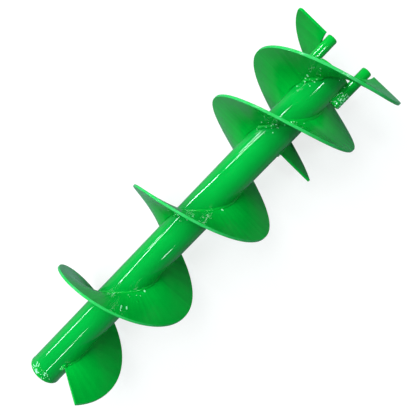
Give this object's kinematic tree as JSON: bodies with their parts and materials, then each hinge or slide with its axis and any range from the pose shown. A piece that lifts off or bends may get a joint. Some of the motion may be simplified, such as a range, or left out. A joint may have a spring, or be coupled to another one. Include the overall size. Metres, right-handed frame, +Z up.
{
  "type": "conveyor auger section",
  "caption": "Right-hand screw conveyor section: tube with welded helical flighting, a second start at the drive end and two round drive dogs.",
  "frame": {"origin": "on the turning axis, in the outer face of the plain end's hub and bush", "axes": "+X along the turning axis from the plain end to the drive dogs, +Y towards drive dog 1, +Z up as it lies on its flight rims"},
  "size_m": [0.7922, 0.2286, 0.2286],
  "materials": {
    "green_enamel": "high-gloss green machinery enamel over steel",
    "painted_weld": "rippled weld bead under the same gloss enamel",
    "bush_bronze": "oiled sintered bronze"
  },
  "bodies": {
    "root": {"core_tube": "green_enamel", "plain_end_hub": "green_enamel", "drive_end_hub": "green_enamel", "main_flight_1": "green_enamel", "main_flight_2": "green_enamel", "main_flight_3": "green_enamel", "main_flight_4": "green_enamel", "main_flight_5": "green_enamel", "second_flight": "green_enamel", "drive_dog_1": "green_enamel", "drive_dog_2": "green_enamel", "plain_end_ring_weld": "painted_weld", "drive_end_ring_weld": "painted_weld", "flight_joint_weld_1": "painted_weld", "flight_joint_weld_2": "painted_weld", "flight_joint_weld_3": "painted_weld", "flight_joint_weld_4": "painted_weld", "main_flight_drive_side_weld": "painted_weld", "main_flight_plain_side_stitches": "painted_weld", "second_flight_drive_side_weld": "painted_weld", "second_flight_plain_side_stitches": "painted_weld", "drive_dog_1_welds": "painted_weld", "drive_dog_2_welds": "painted_weld", "plain_end_bush": "bush_bronze", "drive_end_bush": "bush_bronze"}
  },
  "joints": []
}
